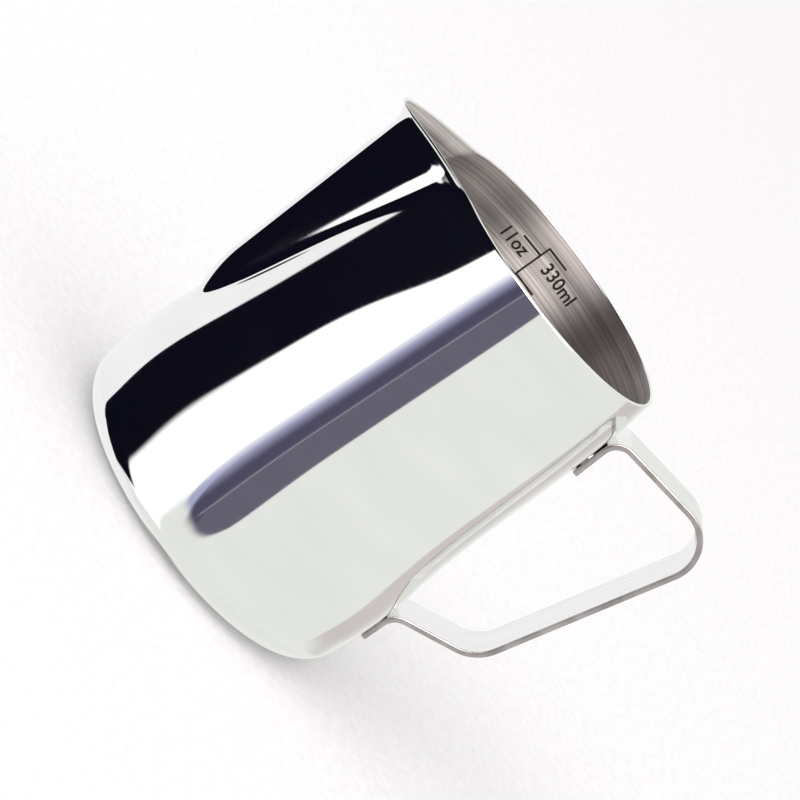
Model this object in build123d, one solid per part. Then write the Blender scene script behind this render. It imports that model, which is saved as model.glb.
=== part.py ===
from build123d import *
import math
import os

os.makedirs("parts", exist_ok=True)

# Milk frothing pitcher, about 350 ml. Millimetres, +Z up, origin at the centre of the base, on the plane
# the pitcher stands on. The spout points to -X, the handle is on +X, and XZ is the plane of symmetry.

# ---------------------------------------------------------------- driving dimensions
RIM_HEIGHT = 89.0        # standing plane to the level part of the rim
WALL = 0.7               # sheet thickness of the drawn body

NECK_RADIUS = 36.7       # outside radius of the plain upper body
BELLY_SWELL = 1.95       # how far the belly stands out past the neck
BELLY_HEIGHT = 16.3      # height of the widest part of the belly
BELLY_SPREAD = 15.8      # how gently the belly runs into the neck
RIM_TAPER = 1.7          # how far the wall closes in at the very top
TAPER_POWER = 8          # how late that closing in begins
BASE_CORNER = 6.0        # outside radius between the wall and the base

SIDE_SHIFT = 3.3         # pressing the spout draws the mouth in and moves its centre to the handle side
SIDE_SQUEEZE = 1.3       # and flattens its two sides by this much
SHIFT_START = 32.6       # height where that begins

RIDGE_START = 33.9       # the spout's front ridge: a straight line from here to the rim
RIDGE_FOOT = 40.3        # its distance from the axis at RIDGE_START
RIDGE_TOP = 41.35        # its distance from the axis at the rim, before the lip
RIDGE_NOSE = 8.9         # height over which its lower end rounds into the body
RIDGE_DROP = 1.24        # how fast it does so
SPOUT_HALF_ANGLE = 34.0  # each flank of the V against the plane of symmetry, degrees
SPOUT_ROUNDING = 0.14    # the ridge is rounded this far to each side, an angle about the axis in radians
SPOUT_REACH = 0.95       # the V's flanks end inside the round body before this angle, in radians
CREASE = 1.5             # width over which flank and body blend
LIP_HEIGHT = 5.0         # the top of the ridge curls outward over this height
LIP_REACH = 4.15
LIP_DROOP = 1.18         # the tip of the spout ends this far below the rim
DROOP_START = 28.0       # distance from the axis where the rim begins to dip to the tip

STRAP_THICKNESS = 1.3
STRAP_WIDTH = 11.0
STRAP_EDGE = 0.25        # rounding along the strap's edges
TAB_GAP = 0.12           # clearance between tab and wall, bridged by the welds
LOWER_TAB_END = 11.2
LOWER_BEND = 19.2
LOWER_CORNER = (57.2, 26.5)
UPPER_CORNER = (69.8, 81.3)
UPPER_BEND = 78.9
UPPER_TAB_END = 67.4
BEND_RADII = (4.1, 8.9, 8.6, 4.0)   # along the strap, from the lower tab to the upper tab

NUGGET_DIAMETER = 4.0    # spot welds, two side by side on each tab
NUGGET_PITCH = 5.4
NUGGET_IN_WALL = 0.3     # how deep each weld has fused into the wall
NUGGET_IN_TAB = 0.6      # and into the tab
LOWER_WELD = 14.8        # height of each pair of welds
UPPER_WELD = 71.0

SECTION_LEVELS = (0, 8, 14, 20, 26, 30, 33, 36, 39, 43, 48, 54, 60, 66, 72, 78, 82, 84.5, 86, 87.2, 88.2,
                  89.2, 90.5)
HALF_POINTS = 30         # points round half a section
POINT_CROWDING = 1.6     # above 1 the points crowd together towards the spout


# ---------------------------------------------------------------- shape of the drawn body
def body_radius(height):
    """Outside radius of the round body before the spout is pressed out."""
    swell = BELLY_SWELL * math.exp(-((height - BELLY_HEIGHT) / BELLY_SPREAD) ** 2)
    return NECK_RADIUS + swell - RIM_TAPER * (height / RIM_HEIGHT) ** TAPER_POWER


def drawn_in_radius(angle, height):
    """Radius of the body drawn in by the pressing. The angle is counted from the spout."""
    rise = max(0.0, (height - SHIFT_START) / (RIM_HEIGHT - SHIFT_START))
    shift = SIDE_SHIFT * rise
    circle = body_radius(height) - shift
    across = shift * math.sin(angle)
    round_part = math.sqrt(circle ** 2 - across ** 2) - shift * math.cos(angle)
    return round_part - SIDE_SQUEEZE * rise * math.sin(angle) ** 2


def ridge_distance(height):
    """Distance of the spout's front ridge from the axis."""
    along = (height - RIDGE_START) / (RIM_HEIGHT - RIDGE_START)
    straight = RIDGE_FOOT + (RIDGE_TOP - RIDGE_FOOT) * max(0.0, along)
    below = max(0.0, (RIDGE_START + RIDGE_NOSE - height) / RIDGE_NOSE)
    lip = max(0.0, 1 - (RIM_HEIGHT - height) / LIP_HEIGHT)
    return straight - RIDGE_DROP * below ** 2 + LIP_REACH * lip ** 2


def flank_radius(angle, height):
    """Radius of the spout's V at an angle from the spout, or zero behind it."""
    if angle > SPOUT_REACH:
        return 0.0
    half = math.radians(SPOUT_HALF_ANGLE)
    rounded = angle + max(0.0, SPOUT_ROUNDING - angle) ** 2 / (2 * SPOUT_ROUNDING)
    return ridge_distance(height) * math.sin(half + SPOUT_ROUNDING / 2) / math.sin(half + rounded)


def outline_radius(angle, height):
    """Body and spout together, with a rounded crease between them."""
    body = drawn_in_radius(angle, height)
    flank = flank_radius(angle, height)
    overlap = max(0.0, 1 - abs(body - flank) / CREASE)
    return max(body, flank) + CREASE * overlap ** 3 / 6


def outline_point(angle, height, inset):
    """Point on the outline, moved inward by the inset. Angles run right round from the spout."""
    step = 0.002
    spots = []
    for turn in (angle - step, angle, angle + step):
        radius = outline_radius(abs(math.remainder(turn, math.tau)), height)
        spots.append(Vector(-radius * math.cos(turn), -radius * math.sin(turn), height))
    outward = (spots[2] - spots[0]).cross(Vector(0, 0, 1)).normalized()
    return spots[1] - outward * inset


def outline(height, inset):
    """Closed outline of the body at a height."""
    half_turn = [math.pi * (k / HALF_POINTS) ** POINT_CROWDING for k in range(HALF_POINTS + 1)]
    angles = half_turn + [math.tau - a for a in reversed(half_turn[1:-1])]
    return Wire([Edge.make_spline([outline_point(a, height, inset) for a in angles], periodic=True)])


def filled_body(inset):
    """Solid inside the outline, with its rounded base corner."""
    levels = [inset] + [z for z in SECTION_LEVELS if z > inset + 1]
    block = Solid.make_loft([outline(z, inset) for z in levels], ruled=True)
    lowest = block.edges().sort_by(Axis.Z)[0]
    return block.fillet(BASE_CORNER - inset, [lowest])


def above_the_rim():
    """Everything over the rim line, which is level and dips towards the tip of the spout."""
    tip = ridge_distance(RIM_HEIGHT - LIP_DROOP)
    far = 60.0
    far_height = RIM_HEIGHT - LIP_DROOP * ((far - DROOP_START) / (tip - DROOP_START)) ** 2
    middle = (far + DROOP_START) / 2
    with BuildSketch(Plane.XZ) as side:
        with BuildLine():
            # the dip is a parabola, drawn as a Bezier curve of three points
            Bezier((-DROOP_START, RIM_HEIGHT), (-middle, RIM_HEIGHT), (-far, far_height))
            Polyline((-far, far_height), (-far, RIM_HEIGHT + far), (far, RIM_HEIGHT + far), (far, RIM_HEIGHT),
                     (-DROOP_START, RIM_HEIGHT))
        make_face()
    return extrude(side.sketch, amount=far, both=True)


# ---------------------------------------------------------------- handle
def tab_offset(low, high):
    """Distance from the axis to the middle of a straight tab that clears the wall between two heights."""
    clear = TAB_GAP + STRAP_THICKNESS / 2
    bottom = outline_radius(math.pi, low)
    top = outline_radius(math.pi, high)
    heights = [low + (high - low) * k / 10 for k in range(11)]
    bulge = max(outline_radius(math.pi, z) - bottom - (top - bottom) * (z - low) / (high - low) for z in heights)
    return bottom + clear + bulge, top + clear + bulge


def strap_path():
    """Middle line of the strap in the plane of symmetry, from the lower tab's end to the upper tab's."""
    lower_end, lower_bend = tab_offset(LOWER_TAB_END, LOWER_BEND)
    upper_end, upper_bend = tab_offset(UPPER_TAB_END, UPPER_BEND)
    corners = [
        (lower_end, LOWER_TAB_END),
        (lower_bend, LOWER_BEND),
        LOWER_CORNER,
        UPPER_CORNER,
        (upper_bend, UPPER_BEND),
        (upper_end, UPPER_TAB_END),
    ]
    path = Wire.make_polygon([Vector(x, z) for x, z in corners], close=False)
    for (x, z), radius in zip(corners[1:-1], BEND_RADII):
        bend = min(path.vertices(), key=lambda v: (v.center() - Vector(x, z)).length)
        path = path.fillet_2d(radius, [bend])
    return path


def handle_strap():
    side = Plane.XZ * trace(strap_path(), line_width=STRAP_THICKNESS)
    strap = extrude(side, amount=STRAP_WIDTH / 2, both=True)
    long_edges = [e for e in strap.edges() if abs(abs(e.center().Y) - STRAP_WIDTH / 2) < 0.001]
    return fillet(long_edges, STRAP_EDGE)


# ---------------------------------------------------------------- spot welds
def weld_pair(height):
    """Two nuggets side by side. Each reaches a little way into the wall and into the tab."""
    wall = outline_radius(math.pi, height)
    length = NUGGET_IN_WALL + TAB_GAP + NUGGET_IN_TAB
    nugget = Cylinder(NUGGET_DIAMETER / 2, length, align=(Align.CENTER, Align.CENTER, Align.MIN))
    start = wall - NUGGET_IN_WALL
    return [Pos(start, side * NUGGET_PITCH / 2, height) * Rot(0, 90, 0) * nugget for side in (-1, 1)]


# ---------------------------------------------------------------- build and write
def build():
    lower_welds = weld_pair(LOWER_WELD)
    upper_welds = weld_pair(UPPER_WELD)
    nuggets = lower_welds + upper_welds

    body = filled_body(0.0) - above_the_rim() - filled_body(WALL)
    strap = handle_strap()
    for nugget in nuggets:
        body = body - nugget
        strap = strap - nugget

    return {
        "body_shell": body,
        "handle_strap": strap,
        "upper_spot_welds": Compound(children=upper_welds),
        "lower_spot_welds": Compound(children=lower_welds),
    }


for name, shape in build().items():
    shape.label = name
    export_step(shape, "parts/" + name + ".step")
    box = shape.bounding_box()
    print(name, "solids", len(shape.solids()), "volume", round(shape.volume, 1), "valid", shape.is_valid,
          "box", box.min, box.max)
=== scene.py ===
import math

import bpy
import numpy as np
from mathutils import Matrix, Vector


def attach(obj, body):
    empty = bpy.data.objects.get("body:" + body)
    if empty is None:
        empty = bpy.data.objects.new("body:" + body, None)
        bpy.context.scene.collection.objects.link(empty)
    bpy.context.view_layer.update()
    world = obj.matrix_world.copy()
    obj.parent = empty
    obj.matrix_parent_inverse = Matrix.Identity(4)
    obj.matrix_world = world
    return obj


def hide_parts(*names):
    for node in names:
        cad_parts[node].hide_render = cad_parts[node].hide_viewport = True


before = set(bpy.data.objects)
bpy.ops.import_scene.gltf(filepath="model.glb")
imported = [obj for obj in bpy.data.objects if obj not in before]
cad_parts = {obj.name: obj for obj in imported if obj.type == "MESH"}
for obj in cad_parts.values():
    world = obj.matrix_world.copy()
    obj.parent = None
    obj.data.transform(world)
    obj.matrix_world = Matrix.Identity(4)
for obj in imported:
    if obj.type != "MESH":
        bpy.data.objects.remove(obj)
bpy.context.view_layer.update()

# A polished steel milk pitcher. Metres, +Z up, the spout to -X, the handle on +X, standing on Z = 0.
# Lengths below are written in millimetres and turned into metres where vertices are made.
MM = 0.001

# ---------------------------------------------------------------- the drawn body, close to the CAD
RIM_HEIGHT = 89.0
WALL = 0.7               # sheet thickness
NECK_RADIUS = 36.7       # outside radius of the plain upper body
BELLY_SWELL = 1.95
BELLY_HEIGHT = 16.3
BELLY_SPREAD = 15.8
RIM_TAPER = 1.7
TAPER_POWER = 8
BASE_CORNER = 6.0

SIDE_SHIFT = 3.3         # pressing the spout draws the mouth in and moves its centre to the handle side
SIDE_SQUEEZE = 1.3       # and flattens its two sides by this much
SHIFT_START = 32.6       # height where that begins
SHIFT_BLEND = 9.0        # softly, over this much to either side; the CAD begins it at once

RIDGE_START = 33.9       # the spout's front ridge
RIDGE_FOOT = 40.3
RIDGE_TOP = 41.35
RIDGE_NOSE = 8.9
RIDGE_DROP = 1.24
SPOUT_HALF_ANGLE = math.radians(34.0)
SPOUT_ROUNDING = 0.14
SPOUT_REACH = 0.95
CREASE = 1.5             # width over which flank and body blend
LIP_HEIGHT = 4.4         # this sheet is bent down to its tip, where the CAD cuts a taller lip off
LIP_REACH = 2.43
LIP_DROOP = 1.18         # the tip of the spout ends this far below the rim
DROOP_START = 28.0       # distance from the axis where the rim begins to dip to the tip
DROOP_FOOT = 60.0        # height above which the sheet follows the rim down

# Each flank of the V swells a little before the crease, which the CAD leaves out.
FLANK_END = 0.31         # angle of the crease at FLANK_END_HEIGHT, in radians
FLANK_END_HEIGHT = 75.0
FLANK_OPENING = 0.0055   # growth of that angle for each millimetre up
FLANK_SLOPE = 8.5        # slope of the swelling where it ends
FLANK_LEAST = 0.02       # the swelling is never narrower than this
SWELL_START = 52.0       # it grows from nothing at this height to its full slope at SWELL_FULL
SWELL_FULL = 80.0
SWELL_END = 88.0         # and fades again over SWELL_FADE below this height
SWELL_FADE = 3.0

# ---------------------------------------------------------------- handle, as in the CAD but for its edges
STRAP_THICKNESS = 1.3
STRAP_WIDTH = 11.0
STRAP_EDGE = 0.3         # rounding along the strap's edges
TAB_GAP = 0.12           # clearance between tab and wall
LOWER_TAB_END = 11.2
LOWER_BEND = 19.2
LOWER_CORNER = (57.2, 26.5)
UPPER_CORNER = (69.8, 81.3)
UPPER_BEND = 78.9
UPPER_TAB_END = 67.4
BEND_RADII = (4.1, 8.9, 8.6, 4.0)   # along the strap, from the lower tab to the upper tab

LOWER_WELD = 14.8        # height of each pair of spot welds
UPPER_WELD = 71.0
WELD_PITCH = 5.4
WELD_DENT_RADIUS = 1.9   # each weld leaves a shallow dent in the tab's outer face
WELD_DENT_DEPTH = 0.1


# ---------------------------------------------------------------- shape of the body
def body_radius(height):
    """Outside radius of the round body before the spout is pressed out."""
    swell = BELLY_SWELL * np.exp(-((height - BELLY_HEIGHT) / BELLY_SPREAD) ** 2)
    return NECK_RADIUS + swell - RIM_TAPER * (height / RIM_HEIGHT) ** TAPER_POWER


def drawn_in_radius(angle, height):
    """Radius of the body drawn in by the pressing. The angle is counted from the spout."""
    above = height - SHIFT_START
    soft = np.where(np.abs(above) < SHIFT_BLEND, (above + SHIFT_BLEND) ** 2 / (4 * SHIFT_BLEND), above)
    rise = np.where(above > -SHIFT_BLEND, soft, 0) / (RIM_HEIGHT - SHIFT_START)
    shift = SIDE_SHIFT * rise
    across = shift * np.sin(angle)
    round_part = np.sqrt((body_radius(height) - shift) ** 2 - across ** 2) - shift * np.cos(angle)
    return round_part - SIDE_SQUEEZE * rise * np.sin(angle) ** 2


def ridge_distance(height):
    """Distance of the spout's front ridge from the axis."""
    along = np.maximum(0, (height - RIDGE_START) / (RIM_HEIGHT - RIDGE_START))
    below = np.maximum(0, (RIDGE_START + RIDGE_NOSE - height) / RIDGE_NOSE)
    lip = np.maximum(0, 1 - (RIM_HEIGHT - height) / LIP_HEIGHT)
    straight = RIDGE_FOOT + (RIDGE_TOP - RIDGE_FOOT) * along
    return straight - RIDGE_DROP * below ** 2 + LIP_REACH * lip ** 2


def flank_swelling(angle, height):
    """How far a flank of the V stands out past its straight line."""
    wide = np.maximum(FLANK_LEAST, FLANK_END + FLANK_OPENING * (height - FLANK_END_HEIGHT) - SPOUT_ROUNDING)
    across = np.clip((angle - SPOUT_ROUNDING) / wide, 0, 1)
    grown = np.clip((height - SWELL_START) / (SWELL_FULL - SWELL_START), 0, 1)
    grown = grown * np.clip((SWELL_END - height) / SWELL_FADE, 0, 1)
    return FLANK_SLOPE * grown * wide * across ** 2 * (1 - across)


def outline_radius(angle, height):
    """Body and spout together, with a rounded crease between them."""
    body = drawn_in_radius(angle, height)
    near = np.minimum(angle, SPOUT_REACH)
    rounded = near + np.maximum(0, SPOUT_ROUNDING - near) ** 2 / (2 * SPOUT_ROUNDING)
    flank = ridge_distance(height) * math.sin(SPOUT_HALF_ANGLE + SPOUT_ROUNDING / 2)
    flank = flank / np.sin(SPOUT_HALF_ANGLE + rounded)
    flank = np.where(angle > SPOUT_REACH, 0, flank + flank_swelling(near, height))
    overlap = np.maximum(0, 1 - np.abs(body - flank) / CREASE)
    return np.maximum(body, flank) + CREASE * overlap ** 3 / 6


def on_outline(turn, height):
    """Point on the outside. turn runs right round, counted from the spout towards -Y."""
    angle = np.abs(np.remainder(turn + np.pi, 2 * np.pi) - np.pi)
    radius = outline_radius(angle, height)
    return np.stack([-radius * np.cos(turn), -radius * np.sin(turn), height], axis=-1)


def on_sheet(turn, height, inset):
    """Point at a depth under the outside, measured level and square to the outline."""
    step = 0.001
    along = on_outline(turn + step, height) - on_outline(turn - step, height)
    outward = np.stack([along[..., 1], -along[..., 0], np.zeros_like(along[..., 0])], axis=-1)
    outward = outward / np.linalg.norm(outward, axis=-1, keepdims=True)
    return on_outline(turn, height) - outward * np.asarray(inset)[..., None]


def rim_drop(points):
    """The rim dips towards the tip of the spout, and the sheet below it follows."""
    tip = RIDGE_TOP + LIP_REACH
    forward = np.clip((-points[..., 0] - DROOP_START) / (tip - DROOP_START), 0, None)
    high = np.clip((points[..., 2] - DROOP_FOOT) / (RIM_HEIGHT - DROOP_FOOT), 0, 1)
    return LIP_DROOP * forward ** 2 * high


# ---------------------------------------------------------------- mesh helpers
def add_object(name, vertices, faces, smooth=True):
    """A mesh object from vertices in millimetres."""
    mesh = bpy.data.meshes.new(name)
    mesh.from_pydata([tuple(v) for v in np.asarray(vertices) * MM], [], [list(f) for f in faces])
    mesh.validate()
    obj = bpy.data.objects.new(name, mesh)
    bpy.context.scene.collection.objects.link(obj)
    if smooth:
        mesh.shade_smooth()
    return obj


def grid_faces(rows, columns, wrap):
    """Quads between rows of vertices laid out row by row."""
    faces = []
    last = columns if wrap else columns - 1
    for row in range(rows - 1):
        for column in range(last):
            right = (column + 1) % columns
            a = row * columns + column
            b = row * columns + right
            faces.append((a, b, b + columns, a + columns))
    return faces


# ---------------------------------------------------------------- drawn body, one closed sheet
TURNS = 600              # vertices round the body
TURN_CROWDING = 1.35     # above 1 they crowd together towards the spout
WALL_ROWS = 170
ROW_CROWDING = 1.25      # above 1 they crowd together towards the rim
CORNER_ROWS = 16
RIM_ROWS = 10
DISC_ROWS = 16
DISC_HOLE = 0.4          # radius of the ring round each disc's middle vertex


def body_turns():
    """Angles right round the body, closer together at the spout."""
    spread = np.linspace(-1, 1, TURNS, endpoint=False)
    return np.sign(spread) * np.abs(spread) ** TURN_CROWDING * np.pi


def profile(depth, corner, ends_at):
    """Heights and depths under the outside down one face of the sheet, from the rim to the base's middle."""
    wall_heights = ends_at - (ends_at - depth - corner) * np.linspace(0, 1, WALL_ROWS) ** ROW_CROWDING
    sweep = np.linspace(np.pi / 2, 0, CORNER_ROWS)[1:]
    corner_heights = depth + corner * (1 - np.cos(sweep))
    corner_depths = depth + corner * (1 - np.sin(sweep))
    disc_radius = float(body_radius(0.0)) - depth - corner
    disc_depths = depth + corner + disc_radius - np.linspace(disc_radius, DISC_HOLE, DISC_ROWS)[1:]
    heights = np.concatenate([wall_heights, corner_heights, np.full(DISC_ROWS - 1, depth)])
    depths = np.concatenate([np.full(WALL_ROWS, depth), corner_depths, disc_depths])
    return heights, depths


def make_body():
    """Outside, rolled rim edge and inside as one closed mesh. The inside faces have the second material."""
    edge = WALL / 2
    outer_heights, outer_depths = profile(0.0, BASE_CORNER, RIM_HEIGHT - edge)
    inner_heights, inner_depths = profile(WALL, BASE_CORNER - WALL, RIM_HEIGHT - edge)
    roll = np.linspace(0, np.pi, RIM_ROWS + 2)[1:-1]
    rim_heights = RIM_HEIGHT - edge + edge * np.sin(roll)
    rim_depths = edge - edge * np.cos(roll)
    heights = np.concatenate([outer_heights[::-1], rim_heights, inner_heights])
    depths = np.concatenate([outer_depths[::-1], rim_depths, inner_depths])

    turn, height = np.meshgrid(body_turns(), heights)
    depth = np.repeat(depths[:, None], TURNS, axis=1)
    points = on_sheet(turn, height, depth)
    points[..., 2] -= rim_drop(points)

    rows = len(heights)
    vertices = points.reshape(-1, 3)
    faces = grid_faces(rows, TURNS, wrap=True)
    outside_middle = len(vertices)
    inside_middle = outside_middle + 1
    vertices = np.vstack([vertices, [[0, 0, 0]], [[0, 0, WALL]]])
    last_row = (rows - 1) * TURNS
    for column in range(TURNS):
        right = (column + 1) % TURNS
        faces.append((column, outside_middle, right))
        faces.append((last_row + column, last_row + right, inside_middle))
    body = add_object("pitcher_body", vertices, faces)

    inside_from = (len(outer_heights) + RIM_ROWS - 1) * TURNS
    quads = (rows - 1) * TURNS
    index = [1 if inside_from <= face < quads else 0 for face in range(quads)] + [0, 1] * TURNS
    body.data.materials.append(polished_steel())
    body.data.materials.append(brushed_steel())
    body.data.polygons.foreach_set("material_index", index)
    return body


# ---------------------------------------------------------------- handle strap
STRAP_STEP = 0.35        # spacing of the sections along the strap
FACE_COLUMNS = 44        # quads across each broad face
EDGE_POINTS = 5          # points round each rounded edge
STRAP_END = ((0.0, 0.25), (0.12, 0.06), (0.3, 0.0))     # (distance from the end, inset of the section there)


def tab_offset(low, high):
    """Distance from the axis to the middle of a straight tab that clears the wall between two heights."""
    heights = np.linspace(low, high, 11)
    wall = outline_radius(np.pi, heights)
    straight = wall[0] + (wall[-1] - wall[0]) * (heights - low) / (high - low)
    clear = TAB_GAP + STRAP_THICKNESS / 2 + float(np.max(wall - straight))
    return wall[0] + clear, wall[-1] + clear


def strap_line():
    """Points and directions along the strap's middle line in XZ, from the lower tab to the upper one."""
    lower_end, lower_bend = tab_offset(LOWER_TAB_END, LOWER_BEND)
    upper_end, upper_bend = tab_offset(UPPER_TAB_END, UPPER_BEND)
    corners = [
        np.array(corner)
        for corner in (
            (lower_end, LOWER_TAB_END),
            (lower_bend, LOWER_BEND),
            LOWER_CORNER,
            UPPER_CORNER,
            (upper_bend, UPPER_BEND),
            (upper_end, UPPER_TAB_END),
        )
    ]
    points = []
    directions = []
    start = corners[0]
    for here, after, radius in zip(corners[1:-1], corners[2:], BEND_RADII):
        into = (here - start) / np.linalg.norm(here - start)
        out = (after - here) / np.linalg.norm(after - here)
        turning = math.atan2(into[0] * out[1] - into[1] * out[0], into @ out)
        reach = radius * math.tan(abs(turning) / 2)
        bend_start = here - into * reach
        add_straight(points, directions, start, bend_start)
        left = np.array([-into[1], into[0]]) * math.copysign(1, turning)
        centre = bend_start + left * radius
        count = max(6, int(abs(turning) * radius / STRAP_STEP))
        for k in range(1, count):
            swing = turning * k / count
            c, s = math.cos(swing), math.sin(swing)
            spin = np.array([[c, -s], [s, c]])
            points.append(centre + spin @ (bend_start - centre))
            directions.append(spin @ into)
        start = here + out * reach
    add_straight(points, directions, start, corners[-1])
    return np.array(points), np.array(directions)


def add_straight(points, directions, start, end):
    """Adds evenly spaced points from start to end."""
    along = (end - start) / np.linalg.norm(end - start)
    count = max(2, int(np.linalg.norm(end - start) / STRAP_STEP))
    for k in range(count + 1):
        points.append(start + (end - start) * k / count)
        directions.append(along)


def strap_section():
    """Closed outline of the strap's section as (along its width, along its thickness), and whether each
    point lies on a rounded edge."""
    half_width = STRAP_WIDTH / 2 - STRAP_EDGE
    half_thickness = STRAP_THICKNESS / 2 - STRAP_EDGE
    outline = []
    on_edge = []
    for side, level, sweep_from in ((1, -1, -90), (1, 1, 0), (-1, 1, 90), (-1, -1, 180)):
        for k in range(EDGE_POINTS):
            a = math.radians(sweep_from + 90 * k / (EDGE_POINTS - 1))
            wide = side * half_width + STRAP_EDGE * math.cos(a)
            thick = level * half_thickness + STRAP_EDGE * math.sin(a)
            outline.append((wide, thick))
            on_edge.append(True)
        if side == level:       # a broad face follows
            for k in range(1, FACE_COLUMNS):
                outline.append((side * half_width * (1 - 2 * k / FACE_COLUMNS), level * STRAP_THICKNESS / 2))
                on_edge.append(False)
    return np.array(outline), on_edge


def strap_stations():
    """(place, direction, inset of the section) along the strap, with its ends rounded."""
    line, directions = strap_line()
    start, start_direction = line[0], directions[0]
    end, end_direction = line[-1], directions[-1]
    stations = [(start + start_direction * slide, start_direction, inset) for slide, inset in STRAP_END]
    stations += [(p, d, 0.0) for p, d in zip(line[2:-2], directions[2:-2])]
    stations += [(end - end_direction * slide, end_direction, inset) for slide, inset in STRAP_END[::-1]]
    return stations


def weld_dents(vertices):
    """How far each vertex of the strap sinks towards the wall over the spot welds."""
    sink = np.zeros(len(vertices))
    for height in (LOWER_WELD, UPPER_WELD):
        outside = float(outline_radius(np.pi, height)) + STRAP_THICKNESS
        outer_face = (vertices[:, 0] > outside) & (vertices[:, 0] < outside + STRAP_THICKNESS)
        for side in (-1, 1):
            away = np.hypot(vertices[:, 1] - side * WELD_PITCH / 2, vertices[:, 2] - height)
            dent = np.clip(1 - (away / WELD_DENT_RADIUS) ** 4, 0, 1)
            sink += np.where(outer_face, dent * WELD_DENT_DEPTH, 0)
    return sink


def make_strap():
    """The strap swept along its line. Its long edges have the second material, whose darker colour is a
    painted dark reflection.
    """
    stations = strap_stations()
    section, on_edge = strap_section()
    half = np.array([STRAP_WIDTH / 2, STRAP_THICKNESS / 2])
    vertices = []
    for place, direction, inset in stations:
        normal = np.array([direction[1], -direction[0]])
        for wide, thick in section * (1 - inset / half):
            flat = place + normal * thick
            vertices.append((flat[0], wide, flat[1]))
    vertices = np.array(vertices)
    vertices[:, 0] -= weld_dents(vertices)

    columns = len(section)
    last_row = (len(stations) - 1) * columns
    faces = grid_faces(len(stations), columns, wrap=True)
    faces.append(tuple(range(columns))[::-1])
    faces.append(tuple(range(last_row, last_row + columns)))
    faces = [face[::-1] for face in faces]      # the section runs clockwise, so this turns them outward
    strap = add_object("handle_strap_polished", vertices, faces)

    # the edge quads take the second material, with its painted dark reflection
    edge_columns = [int(on_edge[k] and on_edge[(k + 1) % columns]) for k in range(columns)]
    index = edge_columns * (len(stations) - 1) + [0, 0]
    strap.data.materials.append(strap_steel())
    strap.data.materials.append(edge_painted_dark_reflection())
    strap.data.polygons.foreach_set("material_index", index)
    return strap


# ---------------------------------------------------------------- volume marks inside
MARK_TURN = math.pi + 1.395     # where the vertical line stands, on the wall away from the camera
SPACING_ANGLE = MARK_TURN - math.pi / 2     # widths round the wall are laid out by its radius at this angle
MARK_LIFT = 0.02                # ink stands this far off the wall
MARK_LINE = 0.48                # line width
BAR_COLUMN = 0.5                # size of the quads that a line is made of
BAR_ROW = 0.8
TICK_LENGTH = 6.2
TOP_MARK = 84.9                 # height of the top line
DIGIT_HEIGHT = 3.05
DIGIT_WEIGHT = 0.018            # the strokes are swollen by this share of the type size
MILLILITRES = (330, 300, 250, 200, 150, 100)
OUNCES = ((11, 322), (10, 299), (8, 237), (6, 177), (4, 118))    # and the millilitres at each tick
# (where words begin beside the line, length per character, drop below the tick)
MILLILITRE_TEXT = (2.7, 2.0, 1.5)
OUNCE_TEXT = (-10.1, 1.95, 0.6)
VOLUME_LEVELS = 90              # the inside is measured at this many heights
VOLUME_TURNS = 181
CUBIC_MM_PER_ML = 1000


def volume_heights():
    """Heights up the inside and the millilitres held below each."""
    heights = np.linspace(WALL, RIM_HEIGHT, VOLUME_LEVELS)
    turn, height = np.meshgrid(np.linspace(0, 2 * np.pi, VOLUME_TURNS), heights)
    corner = BASE_CORNER - WALL
    low = np.clip((WALL + corner - height) / corner, 0, 1)
    depth = WALL + corner * (1 - np.sqrt(1 - low ** 2))
    points = on_sheet(turn, height, depth)
    x = points[..., 0]
    y = points[..., 1]
    areas = np.abs(np.sum(x[:, :-1] * y[:, 1:] - x[:, 1:] * y[:, :-1], axis=1)) / 2
    slices = (areas[1:] + areas[:-1]) / 2 * np.diff(heights)
    return heights, np.concatenate([[0], np.cumsum(slices)]) / CUBIC_MM_PER_ML


def on_inner_wall(u, v):
    """Point of the inner wall u mm towards the handle from the vertical line, at height v."""
    u = np.asarray(u, float)
    v = np.asarray(v, float)
    radius = outline_radius(np.full_like(v, SPACING_ANGLE), v) - WALL
    return on_sheet(MARK_TURN - u / radius, v, np.full_like(v, WALL + MARK_LIFT))


def mark_bar(vertices, faces, low, high):
    """A thin rectangle on the inner wall between two corners (u, v)."""
    columns = max(2, int((high[0] - low[0]) / BAR_COLUMN) + 1)
    rows = max(2, int((high[1] - low[1]) / BAR_ROW) + 1)
    u, v = np.meshgrid(np.linspace(low[0], high[0], columns), np.linspace(low[1], high[1], rows))
    base = len(vertices)
    vertices.extend(on_inner_wall(u.ravel(), v.ravel()))
    faces.extend(tuple(base + i for i in face) for face in grid_faces(rows, columns, wrap=False))


def mark_text(vertices, faces, words, left, top, length):
    """Printed characters of a given length on the inner wall, their upper left corner at (left, top)."""
    curve = bpy.data.curves.new("mark_words", "FONT")
    curve.body = words
    curve.size = 1.0
    curve.resolution_u = 4
    curve.offset = DIGIT_WEIGHT
    holder = bpy.data.objects.new("mark_words", curve)
    bpy.context.scene.collection.objects.link(holder)
    depsgraph = bpy.context.evaluated_depsgraph_get()
    flat = bpy.data.meshes.new_from_object(holder.evaluated_get(depsgraph))
    spots = np.array([v.co[:2] for v in flat.vertices])
    polygons = [tuple(p.vertices) for p in flat.polygons]
    bpy.data.objects.remove(holder)
    start = spots[:, 0].min()
    u = left + (spots[:, 0] - start) * length / (spots[:, 0].max() - start)
    v = top - DIGIT_HEIGHT + spots[:, 1] * DIGIT_HEIGHT / spots[:, 1].max()
    base = len(vertices)
    vertices.extend(on_inner_wall(u, v))
    faces.extend(tuple(base + i for i in polygon) for polygon in polygons)


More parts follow.
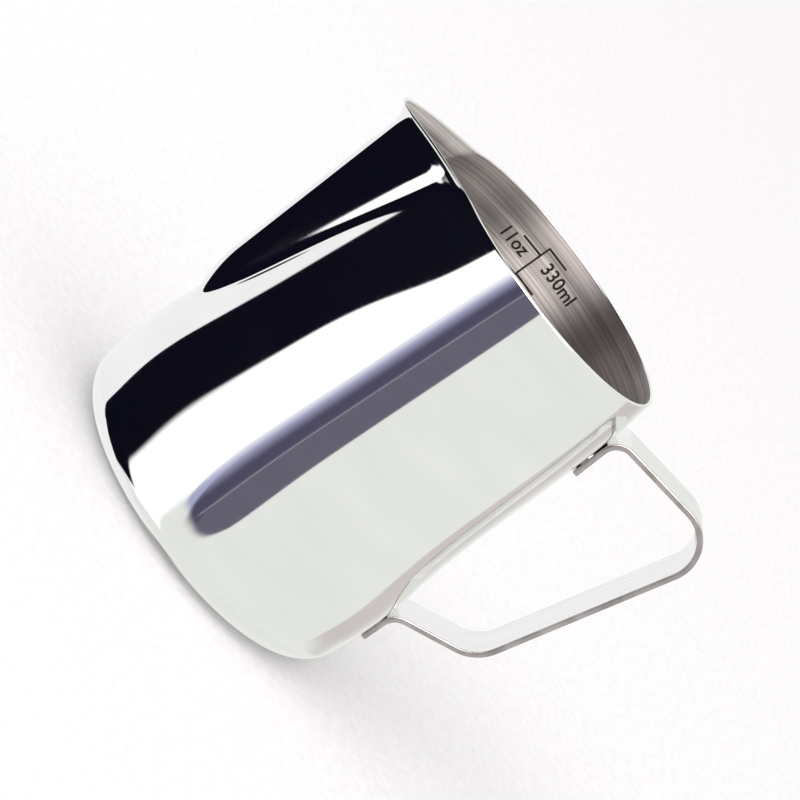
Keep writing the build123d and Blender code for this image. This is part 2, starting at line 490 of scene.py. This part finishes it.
def add_tick(vertices, faces, level, side, words, placing):
    """A tick on one side of the vertical line, 1 towards the handle or -1, and the words beside it."""
    left, right = sorted((0, side * TICK_LENGTH))
    mark_bar(vertices, faces, (left, level - MARK_LINE / 2), (right, level + MARK_LINE / 2))
    start, pitch, drop = placing
    mark_text(vertices, faces, words, start, level - drop, pitch * len(words))


def make_marks():
    """A vertical line with millilitres on the handle side and ounces on the spout side."""
    heights, volumes = volume_heights()
    volumes = volumes * MILLILITRES[0] / np.interp(TOP_MARK, heights, volumes)
    vertices = []
    faces = []
    bottom = float(np.interp(MILLILITRES[-1], volumes, heights))
    mark_bar(vertices, faces, (-MARK_LINE / 2, bottom), (MARK_LINE / 2, TOP_MARK + MARK_LINE / 2))
    for amount in MILLILITRES:
        level = float(np.interp(amount, volumes, heights))
        add_tick(vertices, faces, level, 1, "%dml" % amount, MILLILITRE_TEXT)
    for amount, millilitres in OUNCES:
        level = float(np.interp(millilitres, volumes, heights))
        add_tick(vertices, faces, level, -1, "%doz" % amount, OUNCE_TEXT)
    marks = add_object("volume_marks", vertices, faces)
    marks.data.materials.append(mark_ink())
    return marks


# ---------------------------------------------------------------- shader helpers
NOISE_LOW = 0.3          # noise lies nearly all between these
NOISE_HIGH = 0.7
BASE_BELOW = 0.002       # in metres: below this height brush lines are rings on the base
WALL_ABOVE = 0.006       # and above this height they run round the wall


def new_material(name, metallic):
    """A material and its node tools: (material, nodes, links, principled shader)."""
    material = bpy.data.materials.new(name)
    material.use_nodes = True
    nodes = material.node_tree.nodes
    shader = nodes["Principled BSDF"]
    shader.inputs["Metallic"].default_value = metallic
    return material, nodes, material.node_tree.links, shader


def math_node(nodes, links, operation, *inputs):
    """A Math node fed with sockets or numbers. Returns its output."""
    node = nodes.new("ShaderNodeMath")
    node.operation = operation
    for position, value in enumerate(inputs):
        if isinstance(value, (int, float)):
            node.inputs[position].default_value = value
        else:
            links.new(value, node.inputs[position])
    return node.outputs[0]


def map_range(nodes, links, value, start, end, low=0.0, high=1.0, curve="LINEAR"):
    """value stretched from start..end to low..high and held there outside."""
    spread = nodes.new("ShaderNodeMapRange")
    spread.interpolation_type = curve
    spread.inputs["From Min"].default_value = start
    spread.inputs["From Max"].default_value = end
    spread.inputs["To Min"].default_value = low
    spread.inputs["To Max"].default_value = high
    links.new(value, spread.inputs["Value"])
    return spread.outputs[0]


def noise_at(nodes, links, place, detail, roughness=0.5):
    """Noise at a place, which brings its own scale."""
    noise = nodes.new("ShaderNodeTexNoise")
    noise.inputs["Scale"].default_value = 1.0
    noise.inputs["Detail"].default_value = detail
    noise.inputs["Roughness"].default_value = roughness
    links.new(place, noise.inputs["Vector"])
    return noise.outputs["Fac"]


def object_noise(nodes, links, scale, detail):
    """Noise fixed to the object. scale is in cycles per metre along X, Y and Z."""
    place = nodes.new("ShaderNodeTexCoord")
    stretch = nodes.new("ShaderNodeMapping")
    stretch.inputs["Scale"].default_value = scale
    links.new(place.outputs["Object"], stretch.inputs["Vector"])
    return noise_at(nodes, links, stretch.outputs[0], detail)


def streaks(nodes, links, slow, fast, detail):
    """Noise drawn out round the pitcher: fine up the wall, and fine outward on the flat base.

    slow and fast are its scales along and across the streaks, in cycles per metre.
    """
    place = nodes.new("ShaderNodeTexCoord")
    apart = nodes.new("ShaderNodeSeparateXYZ")
    links.new(place.outputs["Object"], apart.inputs[0])
    level = nodes.new("ShaderNodeCombineXYZ")
    joined = nodes.new("ShaderNodeCombineXYZ")
    for axis in ("X", "Y"):
        links.new(apart.outputs[axis], level.inputs[axis])
        links.new(math_node(nodes, links, "MULTIPLY", apart.outputs[axis], slow), joined.inputs[axis])
    radius = nodes.new("ShaderNodeVectorMath")
    radius.operation = "LENGTH"
    links.new(level.outputs[0], radius.inputs[0])
    fine = nodes.new("ShaderNodeMix")
    links.new(map_range(nodes, links, apart.outputs["Z"], BASE_BELOW, WALL_ABOVE), fine.inputs["Factor"])
    links.new(radius.outputs["Value"], fine.inputs["A"])
    links.new(apart.outputs["Z"], fine.inputs["B"])
    links.new(math_node(nodes, links, "MULTIPLY", fine.outputs["Result"], fast), joined.inputs["Z"])
    return noise_at(nodes, links, joined.outputs[0], detail, roughness=0.65)


def roughened(nodes, links, shader, noise, low, high):
    """Roughness between low and high by noise."""
    links.new(map_range(nodes, links, noise, NOISE_LOW, NOISE_HIGH, low, high), shader.inputs["Roughness"])


def tinted(nodes, links, shader, noise, dark, light):
    """Colour between dark and light by noise."""
    ramp = nodes.new("ShaderNodeValToRGB")
    for element, position, colour in zip(ramp.color_ramp.elements, (NOISE_LOW, NOISE_HIGH), (dark, light)):
        element.position = position
        element.color = (*colour, 1)
    links.new(noise, ramp.inputs["Fac"])
    links.new(ramp.outputs["Color"], shader.inputs["Base Color"])


def bumped(nodes, links, shader, noise, distance, strength):
    """A fine bump by noise. distance is in metres."""
    bump = nodes.new("ShaderNodeBump")
    bump.inputs["Strength"].default_value = strength
    bump.inputs["Distance"].default_value = distance
    links.new(noise, bump.inputs["Height"])
    links.new(bump.outputs["Normal"], shader.inputs["Normal"])


# ---------------------------------------------------------------- materials
def polished_steel():
    """Mirror polish with faint polishing lines round the body."""
    material, nodes, links, shader = new_material("polished_steel", 1.0)
    lines = streaks(nodes, links, 30.0, 6000.0, detail=4.0)
    cloud = streaks(nodes, links, 25.0, 90.0, detail=2.0)
    roughened(nodes, links, shader, lines, 0.02, 0.075)
    tinted(nodes, links, shader, cloud, (0.86, 0.865, 0.865), (0.92, 0.92, 0.91))
    bumped(nodes, links, shader, lines, 0.00002, 0.04)
    return material


def brushed_steel():
    """Satin inside, with brush lines round the wall and rings on the floor."""
    material, nodes, links, shader = new_material("brushed_inside", 1.0)
    lines = streaks(nodes, links, 22.0, 2400.0, detail=4.0)
    broad = streaks(nodes, links, 12.0, 380.0, detail=3.0)
    most = math_node(nodes, links, "MULTIPLY", lines, 0.65)
    both = math_node(nodes, links, "MULTIPLY_ADD", broad, 0.35, most)
    roughened(nodes, links, shader, both, 0.4, 0.54)
    tinted(nodes, links, shader, both, (0.28, 0.25, 0.25), (1.0, 0.945, 0.925))
    bumped(nodes, links, shader, both, 0.00005, 0.3)
    tangent = nodes.new("ShaderNodeTangent")
    tangent.direction_type = "RADIAL"
    tangent.axis = "Z"
    links.new(tangent.outputs[0], shader.inputs["Tangent"])
    shader.inputs["Anisotropic"].default_value = 0.9
    shader.inputs["Anisotropic Rotation"].default_value = 0.25
    return material


def strap_steel():
    """Bent flat bar, polished along its length."""
    material, nodes, links, shader = new_material("strap_steel", 1.0)
    lines = object_noise(nodes, links, (60.0, 2600.0, 60.0), 4.0)
    roughened(nodes, links, shader, lines, 0.04, 0.14)
    tinted(nodes, links, shader, lines, (0.84, 0.84, 0.835), (0.93, 0.93, 0.92))
    bumped(nodes, links, shader, lines, 0.00002, 0.08)
    return material


def edge_painted_dark_reflection():
    """The strap's long edges, rounded on a belt and rougher than its faces, with a darker colour that is a
    painted dark reflection along each edge.
    """
    material, nodes, links, shader = new_material("edge_painted_dark_reflection", 1.0)
    grain = object_noise(nodes, links, (260.0, 260.0, 260.0), 3.0)
    roughened(nodes, links, shader, grain, 0.2, 0.34)
    # painted dark reflection: the edges get a darker colour than the faces, drawing a dark outline along the
    # strap
    tinted(nodes, links, shader, grain, (0.36, 0.32, 0.32), (0.55, 0.51, 0.51))
    bumped(nodes, links, shader, grain, 0.00002, 0.1)
    return material


def weld_steel():
    """Dull fused metal with a trace of heat colour."""
    material, nodes, links, shader = new_material("weld_steel", 1.0)
    grain = object_noise(nodes, links, (900.0, 900.0, 900.0), 3.0)
    roughened(nodes, links, shader, grain, 0.3, 0.5)
    tinted(nodes, links, shader, grain, (0.36, 0.31, 0.27), (0.6, 0.57, 0.55))
    bumped(nodes, links, shader, grain, 0.00005, 0.3)
    return material


def mark_ink():
    """Dark etched marks, slightly uneven."""
    material, nodes, links, shader = new_material("mark_ink", 0.0)
    grain = object_noise(nodes, links, (1800.0, 1800.0, 1800.0), 2.0)
    roughened(nodes, links, shader, grain, 0.45, 0.65)
    tinted(nodes, links, shader, grain, (0.012, 0.009, 0.008), (0.05, 0.04, 0.034))
    return material


def floor_cloth():
    """Pale matt floor with a faint pebbled grain."""
    material, nodes, links, shader = new_material("pale_floor", 0.0)
    grain = object_noise(nodes, links, (420.0, 420.0, 420.0), 3.0)
    tinted(nodes, links, shader, grain, (0.815, 0.79, 0.8), (0.87, 0.852, 0.86))
    bumped(nodes, links, shader, grain, 0.0002, 0.15)
    shader.inputs["Roughness"].default_value = 0.85
    shader.inputs["Specular IOR Level"].default_value = 0.2
    return material


# ---------------------------------------------------------------- studio
PALE = (0.86, 0.875, 0.84)          # what reflections see where there is no panel
BACKDROP = (1.1, 1.1, 1.105)        # what the camera and the diffuse light see
# Panels round the pitcher, seen only in reflections, each over the ones before it: azimuth from and to,
# elevation from and to, softness of the two azimuth ends, how far the lower corners are rounded up, colour.
# Angles are in degrees, and azimuth is counted from +X towards +Y.
PANELS = (
    # white strip light beside the camera, turning blue at its far side
    (-172, -118, -70, 60, 3, 4, 0, (1.15, 1.15, 1.16)),
    (-120, -104, -26, 60, 9, 6, 14, (0.42, 0.43, 0.64)),
    # grey panel behind the camera, with a lighter half and a bright seam
    (-115, -88, -28, 60, 9, 0.8, 12, (0.085, 0.075, 0.13)),
    (-105, -88, -27.5, 60, 4, 0.8, 9, (0.14, 0.13, 0.18)),
    (-105.2, -104.4, -25, 60, 0.4, 0.4, 0, (0.3, 0.28, 0.34)),
    # white between the spout side and the background
    (80, 153, -70, 60, 10, 3, 0, (0.95, 0.95, 0.96)),
    # brownish shade beyond the handle, and the dark line of the table behind the base
    (19, 50, -22, 4, 3, 26, 0, (0.66, 0.61, 0.59)),
    (71, 80, -62, -16.4, 6, 6, 0, (0.4, 0.37, 0.38)),
    # dark gap on the spout side, across the half-turn
    (151, 199, -60, 50, 2, 5, 0, (0.004, 0.004, 0.009)),
    # overhead, seen by the inside: dim, a soft box over the camera side, two lesser ones, and a dark gap
    (-180, 180.1, 24, 100, 0, 0, 0, (0.3, 0.28, 0.28)),
    (-122, -58, 24, 100, 16, 30, 0, (6.0, 5.7, 5.5)),
    (-34, -2, 26, 100, 14, 14, 0, (1.1, 1.05, 1.03)),
    (100, 150, 24, 100, 14, 12, 0, (0.9, 0.86, 0.85)),
    (-190, -137, 18, 100, 8, 10, 0, (0.0, 0.0, 0.0)),
)
PANEL_SOFT_BOTTOM = 0.03            # in radians, to either side of the edge
PANEL_SOFT_TOP = 0.05
PANEL_CORNER_POWER = 4.0            # how late towards its ends a panel's lower edge rises


def mixed_colour(nodes, links, factor, first, second):
    """first where factor is 0 and second where it is 1. Each is a plain colour or a socket."""
    blend = nodes.new("ShaderNodeMix")
    blend.data_type = "RGBA"
    links.new(factor, blend.inputs["Factor"])
    colour_inputs = [socket for socket in blend.inputs if socket.type == "RGBA"]
    for socket, colour in zip(colour_inputs, (first, second)):
        if isinstance(colour, tuple):
            socket.default_value = (*colour, 1)
        else:
            links.new(colour, socket)
    return next(socket for socket in blend.outputs if socket.type == "RGBA")


def soft_step(nodes, links, value, middle, reach):
    """0 well below middle and 1 well above it, smooth over reach to either side."""
    return map_range(nodes, links, value, middle - reach, middle + reach, curve="SMOOTHSTEP")


def panel_mask(nodes, links, around, up, azimuths, elevations, softness, lift):
    """1 inside a panel and 0 outside. Azimuths may run past the half-turn. Lower corners rise by lift."""
    middle = math.radians(sum(azimuths) / 2)
    half = math.radians((azimuths[1] - azimuths[0]) / 2)
    soft_low, soft_high = (math.radians(s) / 2 for s in softness)
    bottom, top = (math.radians(e) for e in elevations)

    turned = math_node(nodes, links, "SUBTRACT", around, middle)
    wrapped = math_node(nodes, links, "WRAP", turned, math.pi, -math.pi)
    from_low = soft_step(nodes, links, wrapped, -half, soft_low)
    past_high = soft_step(nodes, links, wrapped, half, soft_high)
    across = math_node(nodes, links, "SUBTRACT", from_low, past_high)

    from_middle = math_node(nodes, links, "DIVIDE", math_node(nodes, links, "ABSOLUTE", wrapped), half)
    corner = math_node(nodes, links, "POWER", from_middle, PANEL_CORNER_POWER)
    raised = math_node(nodes, links, "MULTIPLY", corner, math.radians(lift))
    lowered = math_node(nodes, links, "SUBTRACT", up, raised)
    above = soft_step(nodes, links, lowered, bottom, PANEL_SOFT_BOTTOM)
    below = soft_step(nodes, links, up, top, PANEL_SOFT_TOP)
    upward = math_node(nodes, links, "SUBTRACT", above, below)
    return math_node(nodes, links, "MULTIPLY", across, upward)


def studio_world():
    """Plain pale light, with panels that only reflections see."""
    world = bpy.data.worlds.new("studio")
    bpy.context.scene.world = world
    world.use_nodes = True
    nodes = world.node_tree.nodes
    links = world.node_tree.links
    nodes.clear()
    place = nodes.new("ShaderNodeTexCoord")
    apart = nodes.new("ShaderNodeSeparateXYZ")
    links.new(place.outputs["Generated"], apart.inputs[0])
    around = math_node(nodes, links, "ARCTAN2", apart.outputs["Y"], apart.outputs["X"])
    up = math_node(nodes, links, "ARCSINE", apart.outputs["Z"])

    reflected = PALE
    for low, high, bottom, top, soft_low, soft_high, lift, tint in PANELS:
        mask = panel_mask(nodes, links, around, up, (low, high), (bottom, top), (soft_low, soft_high), lift)
        reflected = mixed_colour(nodes, links, mask, reflected, tint)

    rays = nodes.new("ShaderNodeLightPath")
    seen = mixed_colour(nodes, links, rays.outputs["Is Glossy Ray"], BACKDROP, reflected)
    glow = nodes.new("ShaderNodeBackground")
    links.new(seen, glow.inputs["Color"])
    out = nodes.new("ShaderNodeOutputWorld")
    links.new(glow.outputs[0], out.inputs["Surface"])


FLOOR_REACH = 6000.0
FLOOR_MIDDLE = 1.0           # radius of the floor's middle face
FLOOR_RINGS = 40
FLOOR_SPOKES = 64
FLOOR_DEPTH = 0.05           # the floor lies this far under the pitcher's base


def studio_floor():
    """A wide pale sheet under the pitcher. The polished steel reflects the studio, not this sheet."""
    vertices = []
    for ring in range(FLOOR_RINGS):
        radius = FLOOR_REACH * (ring / (FLOOR_RINGS - 1)) ** 2 + FLOOR_MIDDLE
        for spoke in range(FLOOR_SPOKES):
            turn = 2 * math.pi * spoke / FLOOR_SPOKES
            vertices.append((radius * math.cos(turn), radius * math.sin(turn), -FLOOR_DEPTH))
    faces = grid_faces(FLOOR_RINGS, FLOOR_SPOKES, wrap=True)
    faces.append(tuple(range(FLOOR_SPOKES))[::-1])
    floor = add_object("studio_floor", vertices, faces)
    floor.data.materials.append(floor_cloth())
    floor.visible_glossy = False


FLAG_PLACE = -105.0          # a black card stands this far out on the spout side
FLAG_LOW = -60.0
FLAG_HIGH = 140.0
FLAG_EDGE = -40.0            # its near edge at the bottom
FLAG_STEPS = ((14, 0, 8), (43, 69, 10))     # it comes nearer by so much, about this height, over so much
FLAG_FAR = 25.0              # its far edge
FLAG_ROWS = 60
FLAG_SOFT = 3.0              # the near edge fades over this width
FLAG_BLACK = (0.004, 0.004, 0.01)


def flag_edge(height):
    """The card's near edge comes towards the camera in two gentle steps as it rises."""
    edge = FLAG_EDGE
    for reach, middle, spread in FLAG_STEPS:
        edge -= reach / (1 + math.exp(-(height - middle) / spread))
    return edge


def fading_black():
    """Black where the vertex colour "cover" is 1, and clear where it is 0."""
    material = bpy.data.materials.new("black_flag")
    material.use_nodes = True
    nodes = material.node_tree.nodes
    links = material.node_tree.links
    nodes.clear()
    amount = nodes.new("ShaderNodeVertexColor")
    amount.layer_name = "cover"
    clear = nodes.new("ShaderNodeBsdfTransparent")
    black = nodes.new("ShaderNodeEmission")
    black.inputs["Color"].default_value = (*FLAG_BLACK, 1)
    mixed = nodes.new("ShaderNodeMixShader")
    links.new(amount.outputs["Color"], mixed.inputs[0])
    links.new(clear.outputs[0], mixed.inputs[1])
    links.new(black.outputs[0], mixed.inputs[2])
    out = nodes.new("ShaderNodeOutputMaterial")
    links.new(mixed.outputs[0], out.inputs["Surface"])
    return material


def studio_flag():
    """A black card beside the spout, seen only in reflections."""
    vertices = []
    cover = []
    for k in range(FLAG_ROWS):
        z = FLAG_LOW + (FLAG_HIGH - FLAG_LOW) * k / (FLAG_ROWS - 1)
        edge = flag_edge(z)
        for y, shade in ((edge - FLAG_SOFT / 2, 0.0), (edge + FLAG_SOFT / 2, 1.0), (FLAG_FAR, 1.0)):
            vertices.append((FLAG_PLACE, y, z))
            cover += [shade, shade, shade, 1]
    flag = add_object("studio_flag", vertices, grid_faces(FLAG_ROWS, 3, wrap=False), smooth=False)
    colours = flag.data.color_attributes.new("cover", "FLOAT_COLOR", "POINT")
    colours.data.foreach_set("color", cover)
    flag.data.materials.append(fading_black())
    flag.visible_camera = False
    flag.visible_diffuse = False
    flag.visible_shadow = False


LAMP_PLACE = (-0.75, -0.35, 0.75)    # in metres
LAMP_AIM = (0, 0, 0.03)
LAMP_SIZE = 0.7
LAMP_POWER = 2.5                     # watts


def studio_light():
    """One large soft lamp on the spout side, so the shadow lies under the handle."""
    data = bpy.data.lights.new("soft_key", "AREA")
    data.shape = "DISK"
    data.size = LAMP_SIZE
    data.energy = LAMP_POWER
    lamp = bpy.data.objects.new("soft_key", data)
    bpy.context.scene.collection.objects.link(lamp)
    lamp.location = LAMP_PLACE
    aim = Vector(LAMP_AIM) - lamp.location
    lamp.rotation_mode = "QUATERNION"
    lamp.rotation_quaternion = aim.to_track_quat("-Z", "Y")
    lamp.visible_glossy = False


# ---------------------------------------------------------------- camera
CAMERA_AZIMUTH = math.radians(-14.03)
CAMERA_ELEVATION = math.radians(14.88)
CAMERA_ROLL = math.radians(53.85)
CAMERA_DISTANCE = 800.0
CAMERA_TARGET = (5.0, 0.0, 48.05)
CAMERA_LENS = 179.1
CAMERA_SENSOR = 36.0


def studio_camera():
    """The photograph's view: the pitcher stands upright and the camera is rolled."""
    a, e = CAMERA_AZIMUTH, CAMERA_ELEVATION
    back = Vector((math.sin(a) * math.cos(e), -math.cos(a) * math.cos(e), math.sin(e)))
    right = Vector((math.cos(a), math.sin(a), 0))
    up = back.cross(right)
    c, s = math.cos(CAMERA_ROLL), math.sin(CAMERA_ROLL)
    across = right * c + up * s
    upward = up * c - right * s
    data = bpy.data.cameras.new("camera")
    data.sensor_width = CAMERA_SENSOR
    data.lens = CAMERA_LENS
    camera = bpy.data.objects.new("camera", data)
    bpy.context.scene.collection.objects.link(camera)
    turn = Matrix((across, upward, back)).transposed()
    camera.rotation_mode = "QUATERNION"
    camera.rotation_quaternion = turn.to_quaternion()
    camera.location = (Vector(CAMERA_TARGET) + back * CAMERA_DISTANCE) * MM
    bpy.context.scene.camera = camera


# ---------------------------------------------------------------- put together
body = make_body()
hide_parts("body_shell")
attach(body, "root")

strap = make_strap()
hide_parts("handle_strap")
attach(strap, "root")

marks = make_marks()
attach(marks, "root")

nugget_steel = weld_steel()
for node in ("upper_spot_welds", "lower_spot_welds"):
    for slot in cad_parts[node].material_slots:
        slot.material = nugget_steel

studio_world()
studio_floor()
studio_flag()
studio_light()
studio_camera()
bpy.context.scene.view_settings.view_transform = "Standard"
